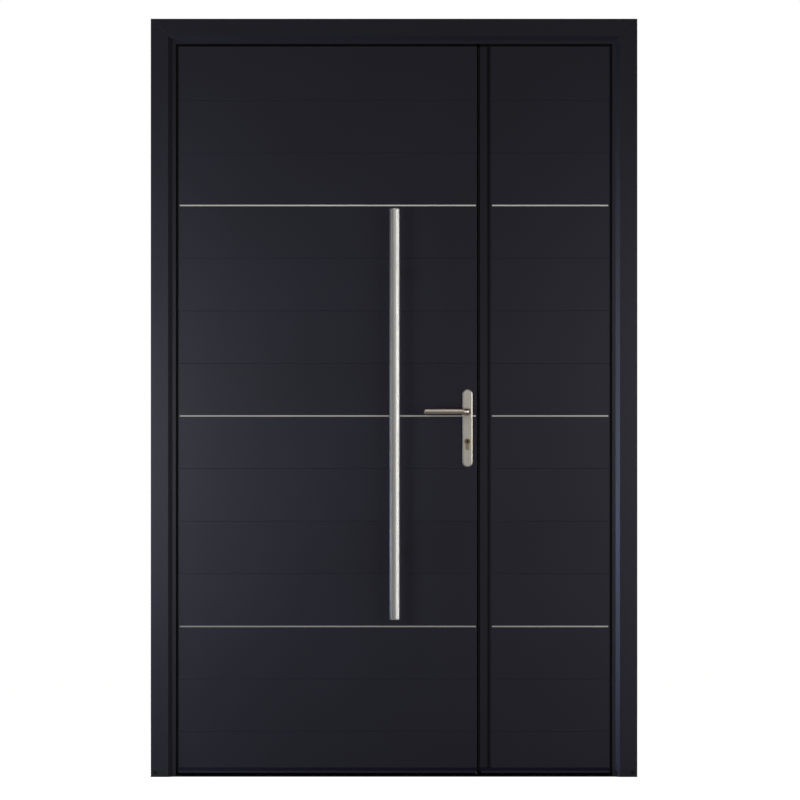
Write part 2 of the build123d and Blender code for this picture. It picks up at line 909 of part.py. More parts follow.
def flush_bolt(middle):
    """Plate of a flush bolt with its flip lever folded into the recess."""
    plate = flush_bolt_bed(middle) - flush_bolt_well(middle)
    gap = (flush_bolt_slot[1] - flush_bolt_lever[1]) / 2
    x_range = (passive_edge_x, passive_edge_x + flush_bolt_lever_thickness)
    lever = bolt_block(x_range, middle - gap, flush_bolt_lever, 0)
    return plate + lever


os.makedirs("parts", exist_ok=True)

left_outer = left_outer_shell()
left_inner = left_inner_shell()
left_break = left_jamb_piece(break_section)
left_foot = left_foot_block()
save("left_jamb_outer_shell", left_outer)
save("right_jamb_outer_shell", mirrored(left_outer))
save("head_outer_shell", head_outer_shell())
save("left_jamb_inner_shell", left_inner)
save("right_jamb_inner_shell", mirrored(left_inner))
save("head_inner_shell", head_piece(inner_shell_section))
save("left_jamb_thermal_break", left_break)
save("right_jamb_thermal_break", mirrored(left_break))
save("head_thermal_break", head_piece(break_section))
save("frame_gasket", frame_gasket())
save("left_foot_block", left_foot)
save("right_foot_block", mirrored(left_foot))
save("threshold", threshold())
save("threshold_strip", threshold_strip_box(web_width))

frame_halves = [hinge_on_frame(height) for height in hinge_heights]
leaf_halves = [hinge_on_leaf(height) for height in hinge_heights]
pins = [hinge_pin(height) for height in hinge_heights]
save("main_hinge_frame_halves", *frame_halves)
save("main_hinge_leaf_halves", *leaf_halves)
save("main_hinge_pins", *pins)
save("passive_hinge_frame_halves", *[mirrored(half) for half in frame_halves])
save("passive_hinge_leaf_halves", *[mirrored(half) for half in leaf_halves])
save("passive_hinge_pins", *[mirrored(pin) for pin in pins])

main_hinge_edge_x = -half_width + leaf_flange_edge
main_panel_left = -half_width + panel_edge
main_seal_left = main_hinge_edge_x + bottom_seal_end_inset
pieces = leaf_pieces(main_hinge_edge_x, main_core_edge_x)
hinge_stile, lock_stile, top_rail, bottom_rail, infill = pieces
main_root = seal_root(main_seal_left, main_core_edge_x)
lock_cuts = [main_root, through_hardware(), faceplate_bed(), *bolt_pockets()]
save("main_hinge_stile", hinge_stile - main_root)
save("main_lock_stile", cut_from(lock_stile, lock_cuts))
save("main_leaf_rails", top_rail, bottom_rail - main_root)
save("main_leaf_infill", infill)
save("main_outer_panel", outer_panel(main_panel_left, main_panel_edge_x) - through_hardware())
save("main_inner_panel", inner_panel(main_hinge_edge_x, main_core_edge_x) - through_hardware())
save("main_leaf_inlays", *inlays(main_panel_left, main_panel_edge_x))
save("main_drip_bar", drip_bar(main_panel_left, main_panel_edge_x))
save("main_bottom_seal", bottom_seal(main_seal_left, main_core_edge_x))

passive_hinge_edge_x = half_width - leaf_flange_edge
passive_panel_right = half_width - panel_edge
passive_seal_right = passive_hinge_edge_x - bottom_seal_end_inset
pieces = leaf_pieces(passive_hinge_edge_x, passive_edge_x)
hinge_stile, meeting_stile, top_rail, bottom_rail, infill = pieces
passive_root = seal_root(passive_edge_x, passive_seal_right)
fin_grooves = [fin_groove(meeting_seal_y, front_core_top), fin_groove(rear_seal_y, leaf_top)]
edge_cuts = [passive_root, strip_bed(), *fin_grooves]
flush_bolt_cuts = [flush_bolt_bed(middle) for middle in flush_bolt_middles()]
flush_bolt_cuts += [flush_bolt_well(middle) for middle in flush_bolt_middles()]
stile_cuts = edge_cuts + strike_blocks() + strike_pockets() + flush_bolt_cuts
save("passive_hinge_stile", hinge_stile - passive_root)
save("passive_meeting_stile", cut_from(meeting_stile, stile_cuts))
save("passive_leaf_rails", cut_from(top_rail, edge_cuts), bottom_rail - passive_root)
save("passive_leaf_infill", infill)
save("passive_outer_panel", outer_panel(passive_panel_edge_x, passive_panel_right))
save("passive_inner_panel", inner_panel(passive_edge_x, passive_hinge_edge_x))
save("passive_leaf_inlays", *inlays(passive_panel_edge_x, passive_panel_right))
passive_drip_left = passive_edge_x + passive_drip_end_inset
save("passive_drip_bar", drip_bar(passive_drip_left, passive_panel_right))
save("passive_bottom_seal", bottom_seal(passive_edge_x, passive_seal_right))
save("meeting_strip", meeting_strip())
save("meeting_seal", *meeting_seals())
save("strike_plates", *strike_plates())
save("flush_bolts", *[flush_bolt(middle) for middle in flush_bolt_middles()])

save("pull_bar", pull_bar())
save("pull_bar_posts", *[bar_post(offset_z) for offset_z in post_offsets()])
outside_lever = lever_on_outside()
outside_plate = plate_outside()
save("outside_plate", outside_plate)
save("inside_plate", to_inside(outside_plate))
save("outside_lever", outside_lever)
save("inside_lever", to_inside(outside_lever))
save("lever_spindle", spindle())
cylinder_front = panel_face - plate_thickness - cylinder_proud
cylinder_back = inner_face + plate_thickness + cylinder_proud
save("lock_cylinder", cylinder_solid(0, cylinder_front, cylinder_back))
save("lock_faceplate", lock_faceplate())
save("lock_bolts", *lock_bolts())
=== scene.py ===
import math

import bmesh
import bpy
from mathutils import Matrix, Vector


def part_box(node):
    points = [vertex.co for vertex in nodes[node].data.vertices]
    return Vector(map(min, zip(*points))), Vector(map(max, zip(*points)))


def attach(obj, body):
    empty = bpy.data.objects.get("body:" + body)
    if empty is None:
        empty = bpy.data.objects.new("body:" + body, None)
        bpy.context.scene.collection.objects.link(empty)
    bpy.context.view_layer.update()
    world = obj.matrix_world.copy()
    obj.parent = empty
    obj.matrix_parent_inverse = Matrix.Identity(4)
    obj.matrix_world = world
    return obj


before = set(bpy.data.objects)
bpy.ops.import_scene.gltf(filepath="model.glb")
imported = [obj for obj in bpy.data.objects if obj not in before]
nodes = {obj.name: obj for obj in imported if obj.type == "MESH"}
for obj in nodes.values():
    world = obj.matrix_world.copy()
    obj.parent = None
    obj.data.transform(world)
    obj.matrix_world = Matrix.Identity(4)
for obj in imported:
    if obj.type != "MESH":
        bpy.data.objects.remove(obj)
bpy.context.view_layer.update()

scene = bpy.context.scene
scene.view_settings.view_transform = "Standard"

# The view: straight on from outside, from so far off that upright lines stay upright.
# The middle of the picture is about halfway up the door, just right of the pull bar.
view_distance = 18.0
view_width = 2.2788
view_middle = Vector((0.017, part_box("left_jamb_outer_shell")[0].y, 1.074))
lens = bpy.data.cameras.new("front_view")
lens.sensor_width = 36.0
lens.lens = lens.sensor_width * view_distance / view_width
camera = bpy.data.objects.new("front_view", lens)
camera.location = view_middle - Vector((0, view_distance, 0))
camera.rotation_euler = (math.radians(90), 0, 0)
scene.collection.objects.link(camera)
scene.camera = camera


# The studio: a pale floor that runs on into a white surround, and soft lamps at mid height.
# The door is nearly black, so what shows on it is sheen: cool lamps on the left, close to the
# frame, weaker ones on the right, and soft grey walls in front that only shiny surfaces see.
floor_size = 14.0
floor_drop = 0.0005
floor_hex = "989693"
floor_glow = 0.965
floor_mirrored = 0.04
white_hex = "ffffff"
ambient = 0.1
back_wall = (0.1, 0.5)


def linear(code):
    """An sRGB hex colour as linear values."""
    parts = [int(code[i : i + 2], 16) / 255 for i in (0, 2, 4)]
    return [p / 12.92 if p <= 0.04045 else ((p + 0.055) / 1.055) ** 2.4 for p in parts] + [1.0]


def put(tree, kind, inputs=None, **settings):
    """Adds a node with its settings; each input is a value or another node's output."""
    node = tree.nodes.new(kind)
    for name, value in settings.items():
        setattr(node, name, value)
    for name, value in (inputs or {}).items():
        if isinstance(value, bpy.types.NodeSocket):
            tree.links.new(value, node.inputs[name])
        else:
            node.inputs[name].default_value = value
    return node


def maths(tree, operation, *values):
    """What a maths node makes of its values."""
    return put(tree, "ShaderNodeMath", dict(enumerate(values)), operation=operation).outputs[0]


def ramp(tree, value, low, high, start=0.0, end=1.0, **settings):
    """Goes from start to end as the value goes from low to high, and no further."""
    inputs = {0: value, 1: low, 2: high, 3: start, 4: end}
    return put(tree, "ShaderNodeMapRange", inputs, **settings).outputs[0]


def shiny_ray(tree):
    """1 for a ray off a shiny surface or through a clear one, 0 for any other."""
    ray = put(tree, "ShaderNodeLightPath").outputs
    return maths(tree, "MAXIMUM", ray["Is Glossy Ray"], ray["Is Transmission Ray"])


world = bpy.data.worlds.new("studio")
scene.world = world
world.use_nodes = True
tree = world.node_tree
tree.nodes.clear()
here = put(tree, "ShaderNodeTexCoord").outputs["Generated"]
behind = put(tree, "ShaderNodeSeparateXYZ", {0: here}).outputs["Y"]
wall = ramp(tree, behind, *back_wall, interpolation_type="SMOOTHSTEP")
# Each soft wall has the degrees right of straight out of the door, the degrees that it rises,
# the degrees that it spreads and its level.
for azimuth, rise, spread, wall_level in ((-25, 10, 45, 0.17), (10, 10, 45, 0.135), (70, 10, 40, 0.12)):
    azimuth, rise = math.radians(azimuth), math.radians(rise)
    way = (math.sin(azimuth) * math.cos(rise), -math.cos(azimuth) * math.cos(rise), math.sin(rise))
    near = put(tree, "ShaderNodeVectorMath", {0: here, 1: way}, operation="DOT_PRODUCT").outputs["Value"]
    rim = math.cos(math.radians(spread))
    patch = ramp(tree, near, rim, 1.0, end=wall_level, interpolation_type="SMOOTHSTEP")
    wall = maths(tree, "ADD", wall, patch)
level = put(tree, "ShaderNodeMix", {0: shiny_ray(tree), 2: ambient, 3: wall}).outputs[0]
seen = put(tree, "ShaderNodeLightPath").outputs["Is Camera Ray"]
level = put(tree, "ShaderNodeMix", {0: seen, 2: level, 3: 1.0}).outputs[0]
background = put(tree, "ShaderNodeBackground", {0: linear(white_hex), 1: level})
put(tree, "ShaderNodeOutputWorld", {0: background.outputs[0]})

floor_mesh = bpy.data.meshes.new("studio_floor")
bm = bmesh.new()
bmesh.ops.create_grid(bm, x_segments=1, y_segments=1, size=floor_size / 2)
bmesh.ops.translate(bm, vec=(0, 0, -floor_drop), verts=bm.verts)
bm.to_mesh(floor_mesh)
bm.free()
floor = bpy.data.objects.new("studio_floor", floor_mesh)
scene.collection.objects.link(floor)


def new_material(name):
    """An empty material and its node tree."""
    material = bpy.data.materials.new(name)
    material.use_nodes = True
    material.node_tree.nodes.clear()
    return material, material.node_tree


# Paper that looks white to the camera, keeps the door's shadow, and hardly lights shiny pieces.
paper, tree = new_material("matt_pale_paper")
seen = put(tree, "ShaderNodeLightPath").outputs["Is Camera Ray"]
strength = maths(tree, "MULTIPLY", shiny_ray(tree), floor_mirrored)
strength = maths(tree, "MULTIPLY_ADD", seen, floor_glow, strength)
matt = put(tree, "ShaderNodeBsdfDiffuse", {"Color": linear(floor_hex)})
glow = put(tree, "ShaderNodeEmission", {"Color": linear(white_hex), "Strength": strength})
both = put(tree, "ShaderNodeAddShader", {0: matt.outputs[0], 1: glow.outputs[0]})
put(tree, "ShaderNodeOutputMaterial", {0: both.outputs[0]})
floor_mesh.materials.append(paper)


def soft_lamp(name, place, aim, width, height, watts, tint, lit_by=None):
    """A flat soft lamp that faces a point; a collection limits which pieces it lights."""
    data = bpy.data.lights.new(name, "AREA")
    data.shape = "RECTANGLE"
    data.size, data.size_y = width, height
    data.energy = watts
    data.color = linear(tint)[:3]
    lamp = bpy.data.objects.new(name, data)
    lamp.location = place
    lamp.rotation_euler = (Vector(aim) - Vector(place)).to_track_quat("-Z", "Y").to_euler()
    lamp.light_linking.receiver_collection = lit_by
    scene.collection.objects.link(lamp)


# Six lamps light everything but the bare metal of the outer side, and seven light it alone.
# The collections are filled in the last section. The others stand above the door and inside.
off_metal = bpy.data.collections.new("all_but_bare_metal")
on_metal = bpy.data.collections.new("bare_metal_alone")
bar_middle = (0, -0.09, 1.0)
soft_lamp("left_front", (-1.3, -1.7, 0.9), (-0.4, 0, 0.9), 0.8, 0.8, 9.0, "f2f8ff", off_metal)
soft_lamp("left_low", (-2.0, -0.5, 0.65), (0.6, 0, 0.65), 0.5, 0.6, 17.0, "b9cdff", off_metal)
soft_lamp("left_high", (-1.5, -0.55, 1.2), (0.6, 0, 1.2), 0.4, 0.9, 4.9, "f2f8ff", off_metal)
soft_lamp("right_low", (1.2, -1.7, 0.6), (0.4, 0, 0.6), 0.8, 0.8, 2.2, "f2f0ff", off_metal)
soft_lamp("right_high", (1.2, -1.7, 1.2), (0.4, 0, 1.2), 0.8, 0.8, 3.1, "f2f0ff", off_metal)
soft_lamp("right_far", (2.4, -1.7, 0.9), (0.4, 0, 0.9), 0.8, 1.2, 6.8, "f2f0ff", off_metal)
soft_lamp("metal_left", (-2.26, -0.91, 1.0), bar_middle, 0.6, 2.2, 3.3, white_hex, on_metal)
soft_lamp("metal_left_front", (-0.5, -2.45, 1.3), (-0.5, -0.09, 1.3), 0.6, 1.6, 1.3, white_hex, on_metal)
soft_lamp("metal_right_front", (1.2, -2.17, 1.0), bar_middle, 0.6, 2.2, 3.3, white_hex, on_metal)
soft_lamp("metal_right", (1.84, -1.63, 1.0), bar_middle, 0.6, 2.2, 11.2, white_hex, on_metal)
soft_lamp("metal_side", (2.39, -0.34, 1.0), bar_middle, 0.6, 2.2, 14.5, white_hex, on_metal)
soft_lamp("metal_high", (0, -2.2, 2.4), (0, -0.09, 1.1), 1.0, 0.6, 3.6, white_hex, on_metal)
soft_lamp("metal_top", (0.15, -0.9, 2.9), (0.15, -0.09, 1.05), 1.2, 0.5, 2.7, white_hex, on_metal)
soft_lamp("above", (0, 1.0, 3.6), (0, 0, 2.1), 1.6, 0.8, 10, white_hex)
soft_lamp("inside_left", (1.9, 2.6, 1.3), (0.3, 0, 1.0), 2.0, 2.0, 22, "f4f6ff")
soft_lamp("inside_right", (-2.2, 2.4, 1.3), (-0.3, 0, 1.0), 1.8, 2.0, 16, "fff9f2")


# Frame: mitred aluminium profiles, powder coated nearly black, with a hairline joint at each mitre.
# The coat is baked polyester with a satin sheen. Its grain is about 0.3 mm across, and it is
# drawn 2.5 mm across so that it shows as a faint unevenness.
coat_dark_hex = "1b1823"
coat_light_hex = "211e2b"
coat_roughness = 0.42
coat_grain = 0.0025
coat_patches = 2.3
coat_tones = (0.45, 1.1)
grain_share = 0.45
batch_share = 0.22
sheen_spread = 0.03
coat_ior = 1.5
worn_hex = "3b3942"
worn_turn = (0.99, 0.85)
corner_radius = 0.0007
mitre_hex = "08080a"
mitre_line = 0.0006
half_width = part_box("right_jamb_outer_shell")[1].x
frame_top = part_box("head_outer_shell")[1].z


def object_place(tree, stretch=(1, 1, 1)):
    """Object coordinates in metres, stretched along each axis."""
    here = put(tree, "ShaderNodeTexCoord").outputs["Object"]
    return put(tree, "ShaderNodeMapping", {0: here, "Scale": stretch}).outputs[0]


def noise(tree, place, scale, detail, roughness=0.5):
    """A cloudy pattern; the scale is how many patches lie in one unit of the place."""
    inputs = {"Vector": place, "Scale": scale, "Detail": detail, "Roughness": roughness}
    return put(tree, "ShaderNodeTexNoise", inputs).outputs[0]


def mix_colours(tree, share, first, second):
    """Goes from the first colour to the second; each is a hex code, a list or a node's output."""
    first, second = [linear(c) if isinstance(c, str) else c for c in (first, second)]
    return put(tree, "ShaderNodeMix", {0: share, 6: first, 7: second}, data_type="RGBA").outputs[2]


def round_edges(tree, radius):
    """The surface's direction, with edges rounded to a radius."""
    return put(tree, "ShaderNodeBevel", {"Radius": radius}, samples=4).outputs[0]


def worn_edge(tree, rounded, patch):
    """How far an edge is rubbed, from the turn of its rounded normal; a pattern breaks it up."""
    flat = put(tree, "ShaderNodeNewGeometry").outputs["Normal"]
    turned = put(tree, "ShaderNodeVectorMath", {0: rounded, 1: flat}, operation="DOT_PRODUCT")
    edge = ramp(tree, turned.outputs["Value"], *worn_turn)
    return maths(tree, "MULTIPLY", edge, patch)


def surface(tree, colour, roughness, height=None, depth=0.0001, strength=0.3, rounded=None, **others):
    """Ends a material in one surface, with a relief from a pattern's height and depth."""
    inputs = {"Base Color": colour, "Roughness": roughness, **others}
    if height is not None:
        relief = {"Height": height, "Distance": depth, "Strength": strength}
        if rounded is not None:
            relief["Normal"] = rounded
        inputs["Normal"] = put(tree, "ShaderNodeBump", relief).outputs[0]
    shader = put(tree, "ShaderNodeBsdfPrincipled", inputs)
    put(tree, "ShaderNodeOutputMaterial", {0: shader.outputs[0]})


def powder_coat(name, dark_hex, light_hex, roughness, plank_start=None, mitred=False):
    """Satin powder coat: fine grain, faint broad unevenness and slightly rounded edges."""
    material, tree = new_material(name)
    place = object_place(tree)
    grain = noise(tree, place, 1 / coat_grain, 2.0)
    broad = noise(tree, place, coat_patches, 3.0)
    mixed = maths(tree, "MULTIPLY_ADD", grain, grain_share, broad)
    height = grain
    axes = put(tree, "ShaderNodeSeparateXYZ", {0: place}).outputs
    if plank_start is not None:
        up = maths(tree, "SUBTRACT", axes["Z"], plank_start)
        plank = maths(tree, "FLOOR", maths(tree, "DIVIDE", up, plank_pitch))
        batch = put(tree, "ShaderNodeTexWhiteNoise", {"W": plank}, noise_dimensions="1D").outputs[0]
        mixed = maths(tree, "MULTIPLY_ADD", batch, batch_share, mixed)
    tone = ramp(tree, mixed, *coat_tones)
    colour = mix_colours(tree, tone, dark_hex, light_hex)
    if plank_start is not None:
        off_joint = maths(tree, "PINGPONG", up, plank_pitch / 2)
        dust = maths(tree, "LESS_THAN", off_joint, joint_half_width)
        colour = mix_colours(tree, dust, colour, joint_hex)
    if mitred:
        across = maths(tree, "SUBTRACT", half_width, maths(tree, "ABSOLUTE", axes["X"]))
        down = maths(tree, "SUBTRACT", frame_top, axes["Z"])
        joint = maths(tree, "COMPARE", across, down, mitre_line)
        colour = mix_colours(tree, joint, colour, mitre_hex)
        height = maths(tree, "SUBTRACT", height, joint)
    shine = ramp(tree, mixed, *coat_tones, roughness - sheen_spread, roughness + sheen_spread)
    rounded = round_edges(tree, corner_radius)
    colour = mix_colours(tree, worn_edge(tree, rounded, grain), colour, worn_hex)
    surface(tree, colour, shine, height, rounded=rounded, IOR=coat_ior)
    return material


def finish(material, *names):
    """Gives CAD pieces their material."""
    for name in names:
        for piece_slot in nodes[name].material_slots:
            piece_slot.material = material


frame_coat = powder_coat(
    "powder_coated_mitred_profile", coat_dark_hex, coat_light_hex, coat_roughness, mitred=True
)
finish(frame_coat, "left_jamb_outer_shell", "right_jamb_outer_shell", "head_outer_shell")
finish(frame_coat, "left_jamb_inner_shell", "right_jamb_inner_shell", "head_inner_shell")
profile_coat = powder_coat("powder_coated_profile", coat_dark_hex, coat_light_hex, coat_roughness)


# Insulating bars between the shells, and the strip in the threshold: nylon with glass fibre,
# extruded, dull black. Its pale fibres are finer than a hair, and are drawn as upright streaks
# 2 mm wide so that they show.
nylon_hex = "131314"
fibre_hex = "2a2a2b"
nylon_ior = 1.53
fibre_stretch = (500, 500, 90)


def filled_nylon(name, dark_hex, pale_hex, roughness):
    """Dull moulded or extruded nylon with faint fibres."""
    material, tree = new_material(name)
    fibre = noise(tree, object_place(tree, fibre_stretch), 1.0, 3.0)
    colour = mix_colours(tree, ramp(tree, fibre, 0.45, 0.75), dark_hex, pale_hex)
    shine = ramp(tree, fibre, 0.3, 0.7, roughness - 0.05, roughness + 0.05)
    surface(tree, colour, shine, fibre, IOR=nylon_ior)
    return material


bar_nylon = filled_nylon("glass_filled_nylon_bar", nylon_hex, fibre_hex, 0.6)
finish(bar_nylon, "left_jamb_thermal_break", "right_jamb_thermal_break", "head_thermal_break")
finish(bar_nylon, "threshold_strip")


# Gaskets and seals: extruded EPDM rubber, matt black, pressed into grooves.
# Handling leaves a slight grey bloom on it, in patches about 20 mm across.
rubber_hex = "0b0b0c"
bloom_hex = "1b1b1c"
bloom_scale = 45.0
rubber_ior = 1.5
rubber, tree = new_material("extruded_epdm_rubber")
bloom = noise(tree, object_place(tree), bloom_scale, 4.0)
colour = mix_colours(tree, ramp(tree, bloom, 0.5, 0.8), rubber_hex, bloom_hex)
shine = ramp(tree, bloom, 0.3, 0.7, 0.66, 0.82)
surface(tree, colour, shine, bloom, depth=0.0002, strength=0.2, IOR=rubber_ior)
finish(rubber, "frame_gasket", "main_bottom_seal", "passive_bottom_seal", "meeting_seal")


# Foot blocks: moulded nylon in the frame's colour, under the jambs, each held by a round-headed
# screw. Screws, pins and pressed parts share one finish: stainless steel with the tool's fine
# lines, about 0.1 mm apart, which are drawn 1 to 2 mm apart so that they show.
foot_dark_hex = "131217"
foot_pale_hex = "1d1c22"
foot_screw = (0.0046, 0.0018, 0.0008)
foot_recess = 0.0025
foot_screw_from_edge = 0.013
foot_screw_up = 0.013
steel_hex = "cfcdc8"
blacked_hex = "3a393d"
# Painted shade for the floors of screw drives and key slots: near black with paler specks.
recess_shade_hex = "0b0a09"
recess_speck_hex = "231f1b"
recess_shade_ior = 1.47
turned_stretch = (700, 700, 700)
metal_patches = 9.0
metal_tones = (0.45, 0.95)
scratch_sheen = 0.05
metal_edge = 0.0004
edge_polish = 0.12
foot_nylon = filled_nylon("moulded_nylon_in_frame_colour", foot_dark_hex, foot_pale_hex, 0.5)
finish(foot_nylon, "left_foot_block", "right_foot_block")


def brushed_metal(name, code, stretch, roughness, depth=0.00004, dull=0.86):
    """Metal with fine scratches; the stretch is small along the scratches and large across them."""
    material, tree = new_material(name)
    scratch = noise(tree, object_place(tree, stretch), 1.0, 5.0, 0.6)
    cloud = noise(tree, object_place(tree), metal_patches, 2.0)
    mixed = maths(tree, "MULTIPLY_ADD", cloud, 0.4, scratch)
    dim = [c * dull for c in linear(code)[:3]] + [1.0]
    colour = mix_colours(tree, ramp(tree, mixed, *metal_tones), dim, code)
    shine = ramp(tree, mixed, *metal_tones, roughness + scratch_sheen, roughness - scratch_sheen)
    rounded = round_edges(tree, metal_edge)
    polished = maths(tree, "MULTIPLY_ADD", worn_edge(tree, rounded, cloud), -edge_polish, shine)
    surface(tree, colour, polished, scratch, depth, 0.4, rounded, Metallic=1.0)
    return material


screw_steel = brushed_metal("turned_stainless_steel", steel_hex, turned_stretch, 0.3)
blacked_steel = brushed_metal("blacked_screw_steel", blacked_hex, turned_stretch, 0.45)

# The floor of a screw's drive, and of the slot for a key, is near black with paler specks: painted shade for
# these deep hollows.
recess_shade, tree = new_material("painted_recess_shade")
speck = noise(tree, object_place(tree), 1500.0, 3.0)
colour = mix_colours(tree, ramp(tree, speck, 0.4, 0.7), recess_shade_hex, recess_speck_hex)
surface(tree, colour, ramp(tree, speck, 0.3, 0.7, 0.6, 0.9), IOR=recess_shade_ior)

facings = {
    "outside": Matrix.Rotation(math.radians(90), 4, "X"),
    "inside": Matrix.Rotation(math.radians(180), 4, "Z") @ Matrix.Rotation(math.radians(90), 4, "X"),
    "right": Matrix.Rotation(math.radians(90), 4, "Y"),
    "left": Matrix.Rotation(math.radians(-90), 4, "Y"),
    "up": Matrix.Identity(4),
    "down": Matrix.Rotation(math.radians(180), 4, "X"),
}


def new_piece(name, form, places, body, slot, *materials):
    """Stands a form at each place, a point and the way it faces, as one piece on a body."""
    one = bpy.data.meshes.new("form")
    form.to_mesh(one)
    form.free()
    many = bmesh.new()
    for point, facing in places:
        first = len(many.verts)
        many.from_mesh(one)
        many.verts.ensure_lookup_table()
        stand = Matrix.Translation(point) @ facings[facing]
        bmesh.ops.transform(many, matrix=stand, verts=many.verts[first:])
    bpy.data.meshes.remove(one)
    bmesh.ops.recalc_face_normals(many, faces=many.faces)
    mesh = bpy.data.meshes.new(name)
    many.to_mesh(mesh)
    many.free()
    for material in materials:
        mesh.materials.append(material)
    piece = bpy.data.objects.new(name, mesh)
    scene.collection.objects.link(piece)
    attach(piece, body)


def upper_face(bm):
    """The face that looks up and lies highest; of several, the one with the most corners."""
    upward = [f for f in bm.faces if f.normal.z > 0.9]
    return max(upward, key=lambda f: (round(f.calc_center_median().z, 7), len(f.verts)))


def screw_head(radius, height, round_off, lobes=6):
    """A screw head on the origin, facing up, with a six-lobed drive whose floor takes the second material,
    painted shade.
    """
    bm = bmesh.new()
    sides = 4 * lobes
    bmesh.ops.create_cone(
        bm, cap_ends=True, segments=sides, radius1=radius, radius2=radius, depth=2 * height
    )
    rim = list(upper_face(bm).edges)
    bmesh.ops.bevel(
        bm, geom=rim, offset=round_off, offset_type="OFFSET", affect="EDGES",
        segments=2, profile=0.5, material=-1,
    )
    bm.normal_update()
    bmesh.ops.inset_region(bm, faces=[upper_face(bm)], thickness=(radius - round_off) * 0.45)
    drive = upper_face(bm)
    for index, vert in enumerate(drive.verts):
        squeeze = 0.8 + 0.2 * math.cos(2 * math.pi * lobes * index / sides)
        vert.co.x *= squeeze
        vert.co.y *= squeeze
    bmesh.ops.inset_region(bm, faces=[drive], thickness=radius * 0.02, depth=-0.8 * height)
    # The drive's floor gets the second material: painted shade.
    drive.material_index = 1
    return bm


foot_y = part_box("left_foot_block")[0].y + foot_recess
foot_x = half_width - foot_screw_from_edge
places = [((side * foot_x, foot_y, foot_screw_up), "outside") for side in (-1, 1)]
new_piece("foot_screws", screw_head(*foot_screw), places, "frame", "lock_steel", blacked_steel, recess_shade)


# Threshold: a low extruded aluminium bar, coated, ribbed on top so that feet don't slip,
# and screwed down through its inner edge. Its top is scuffed paler by shoes, along the bar.
sill_dark_hex = "0e0e10"
sill_pale_hex = "2c2b2d"
scuff_stretch = (14, 160, 60)
sill_screw = (0.0036, 0.0003, 0.0001)
sill_screw_y = 0.0235
sill_screw_x = (-0.56, -0.28, 0.0, 0.28, 0.56)
sill_coat, tree = new_material("scuffed_coated_aluminium")
scuff = noise(tree, object_place(tree, scuff_stretch), 1.0, 5.0)
colour = mix_colours(tree, ramp(tree, scuff, 0.5, 0.8), sill_dark_hex, sill_pale_hex)
shine = ramp(tree, scuff, 0.3, 0.8, 0.4, 0.6)
surface(tree, colour, shine, scuff, rounded=round_edges(tree, metal_edge), IOR=coat_ior)
finish(sill_coat, "threshold")
sill_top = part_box("threshold")[1].z
places = [((x, sill_screw_y, sill_top), "up") for x in sill_screw_x]
new_piece("threshold_screws", screw_head(*sill_screw), places, "frame", "lock_steel", screw_steel, recess_shade)


# Hinges: three-part barrel hinges on the inner face, coated like the leaves, with a stainless pin.
# Each half is held by three sunk screws.
hinge_half_length = 0.0704
hinge_plate_thickness = 0.005
hinge_screw = (0.0048, 0.0004, 0.00015)
hinge_screw_from_pin = 0.0265
hinge_screw_spread = 0.050
finish(profile_coat, "main_hinge_frame_halves", "passive_hinge_frame_halves")
finish(profile_coat, "main_hinge_leaf_halves", "passive_hinge_leaf_halves")
pin_steel = brushed_metal("brushed_stainless_steel_pin", steel_hex, (600, 600, 20), 0.3)
finish(pin_steel, "main_hinge_pins", "passive_hinge_pins")
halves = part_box("main_hinge_frame_halves")
hinge_ends = (halves[0].z + hinge_half_length, halves[1].z - hinge_half_length)
hinge_heights = (hinge_ends[0], sum(hinge_ends) / 2, hinge_ends[1])
hinge_pin_x = sum(corner.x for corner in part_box("passive_hinge_pins")) / 2
plate_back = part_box("main_inner_panel")[1].y + hinge_plate_thickness
for leaf, side in (("main", -1), ("passive", 1)):
    for half, body, way in (("frame", "frame", side), ("leaf", leaf + "_leaf", -side)):
        x = side * hinge_pin_x + way * hinge_screw_from_pin
        spread = (-hinge_screw_spread, 0.0, hinge_screw_spread)
        places = [((x, plate_back, z + up), "inside") for z in hinge_heights for up in spread]
        name = f"{leaf}_hinge_{half}_screws"
        new_piece(name, screw_head(*hinge_screw), places, body, "lock_steel", screw_steel, recess_shade)


# Leaves: hollow coated profiles round a block of rigid foam, with a coated aluminium sheet on
# each face. The sheets are drawn with plank joints, a little paler with dust, and each plank's
# coat differs very slightly. The foam's pores are under 1 mm and are drawn 3 mm across.
plank_pitch = 0.15
plank_start = 0.4285
joint_hex = "2c2936"
joint_half_width = 0.0009
foam_hex = "d9d2b8"
foam_pore_hex = "b5ab8a"
foam_pores = 350.0
foam_ior = 1.45
finish(profile_coat, "main_hinge_stile", "main_lock_stile", "main_leaf_rails")
finish(profile_coat, "passive_hinge_stile", "passive_meeting_stile", "passive_leaf_rails")
sheet_coat = powder_coat(
    "powder_coated_sheet", coat_dark_hex, coat_light_hex, coat_roughness, plank_start=plank_start
)
finish(sheet_coat, "main_outer_panel", "main_inner_panel", "passive_outer_panel", "passive_inner_panel")
foam, tree = new_material("rigid_foam")
pores = put(tree, "ShaderNodeTexVoronoi", {"Vector": object_place(tree), "Scale": foam_pores})
pore = pores.outputs["Distance"]
colour = mix_colours(tree, pore, foam_pore_hex, foam_hex)
surface(tree, colour, 0.9, pore, depth=0.0005, strength=0.5, IOR=foam_ior)
finish(foam, "main_leaf_infill", "passive_leaf_infill")


# Inlays: narrow strips of brushed stainless steel let in flush at every fourth plank joint.
# They are ground lengthwise and look nearly white.
inlay_hex = "eceae4"
inlay_steel = brushed_metal("brushed_stainless_steel_strip", inlay_hex, (10, 900, 900), 0.36)
finish(inlay_steel, "main_leaf_inlays", "passive_leaf_inlays")

